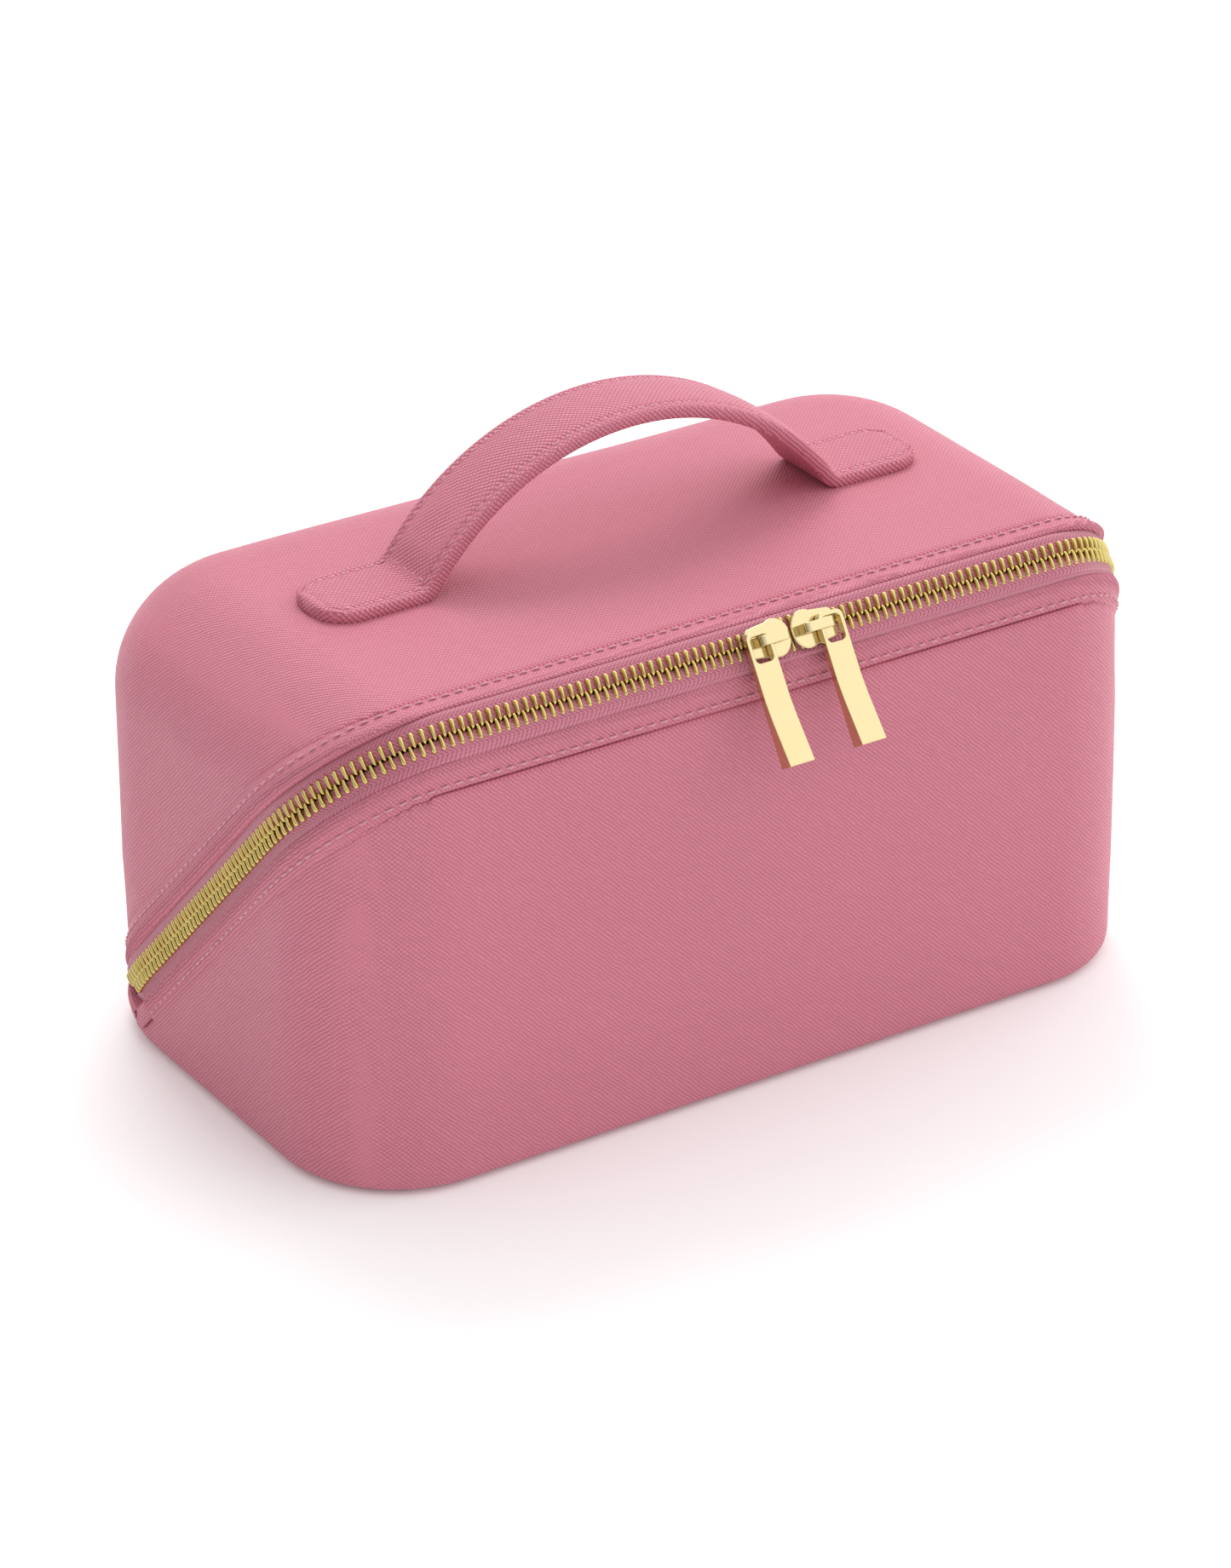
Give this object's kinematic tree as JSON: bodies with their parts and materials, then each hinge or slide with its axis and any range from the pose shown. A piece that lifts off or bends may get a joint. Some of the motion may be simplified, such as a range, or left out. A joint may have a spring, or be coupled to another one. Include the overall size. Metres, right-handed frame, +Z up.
{
  "type": "makeup train case",
  "caption": "Soft moulded cosmetic case with a slanting wrap-round metal zip, two sliders with long pulls, a fold-back lid and a padded carry handle on top.",
  "frame": {"origin": "centre of the flat base, on the ground plane", "axes": "+X along the case to the right when seen from the front, +Y from the zip front towards the hinge at the back, +Z up"},
  "size_m": [0.2508, 0.1573, 0.1645],
  "materials": {
    "pink_faux_leather": "cross-hatched grain, semi-matt",
    "pink_binding": "rolled edge with fine ribs",
    "pink_handle_leather": "cross-hatched grain, stitched",
    "pink_lining": "woven",
    "padded_divider": "padded and stitched",
    "grey_board": "pressed board",
    "steel_plate": "plain",
    "pink_zip_tape": "herringbone weave",
    "gold_metal": "polished pale gold plate",
    "white_foam": "foam",
    "mesh_fabric": "open mesh",
    "elastic_band": "ribbed elastic"
  },
  "bodies": {
    "tray": {"tray_shell": "pink_faux_leather", "tray_lining": "pink_lining", "tray_rim_binding": "pink_binding", "base_board": "grey_board", "hinge_strip": "pink_faux_leather", "lower_zip_tape": "pink_zip_tape", "lower_zip_teeth": "gold_metal", "long_divider": "padded_divider", "left_cross_divider": "padded_divider", "right_cross_divider": "padded_divider"},
    "lid": {"lid_shell": "pink_faux_leather", "lid_lining": "pink_lining", "lid_rim_binding": "pink_binding", "lid_board": "grey_board", "handle_anchor_plates": "steel_plate", "upper_zip_tape": "pink_zip_tape", "upper_zip_teeth": "gold_metal", "handle_cover": "pink_handle_leather", "handle_backing": "pink_handle_leather", "handle_padding": "white_foam", "lid_pocket": "mesh_fabric", "pocket_elastic": "elastic_band"},
    "left_slider": {"left_slider": "gold_metal", "left_slider_bridge": "gold_metal"},
    "right_slider": {"right_slider": "gold_metal", "right_slider_bridge": "gold_metal"},
    "left_pull": {"left_zip_pull": "gold_metal"},
    "right_pull": {"right_zip_pull": "gold_metal"}
  },
  "joints": [
    {"name": "lid_hinge", "type": "hinge", "parent": "tray", "child": "lid", "pos_m": [0, 0.0706, 0.009], "axis": [-1, 0, 0], "range_deg": [0, 93], "deforming": ["hinge_strip"]},
    {"name": "left_slider_slide", "type": "slide", "parent": "tray", "child": "left_slider", "axis": [-1, 0, 0], "range_m": [0, 0.082], "deforming": ["lower_zip_teeth", "upper_zip_teeth"]},
    {"name": "right_slider_slide", "type": "slide", "parent": "tray", "child": "right_slider", "axis": [1, 0, 0], "range_m": [0, 0.068], "deforming": ["lower_zip_teeth", "upper_zip_teeth"]},
    {"name": "left_pull_swing", "type": "hinge", "parent": "left_slider", "child": "left_pull", "pos_m": [-0.0035, -0.06679, 0.12565], "axis": [0, 0.8401, -0.5424], "range_deg": [-8, 40]},
    {"name": "right_pull_swing", "type": "hinge", "parent": "right_slider", "child": "right_pull", "pos_m": [0.0179, -0.06679, 0.12565], "axis": [0, -0.8401, 0.5424], "range_deg": [-8, 40]}
  ]
}
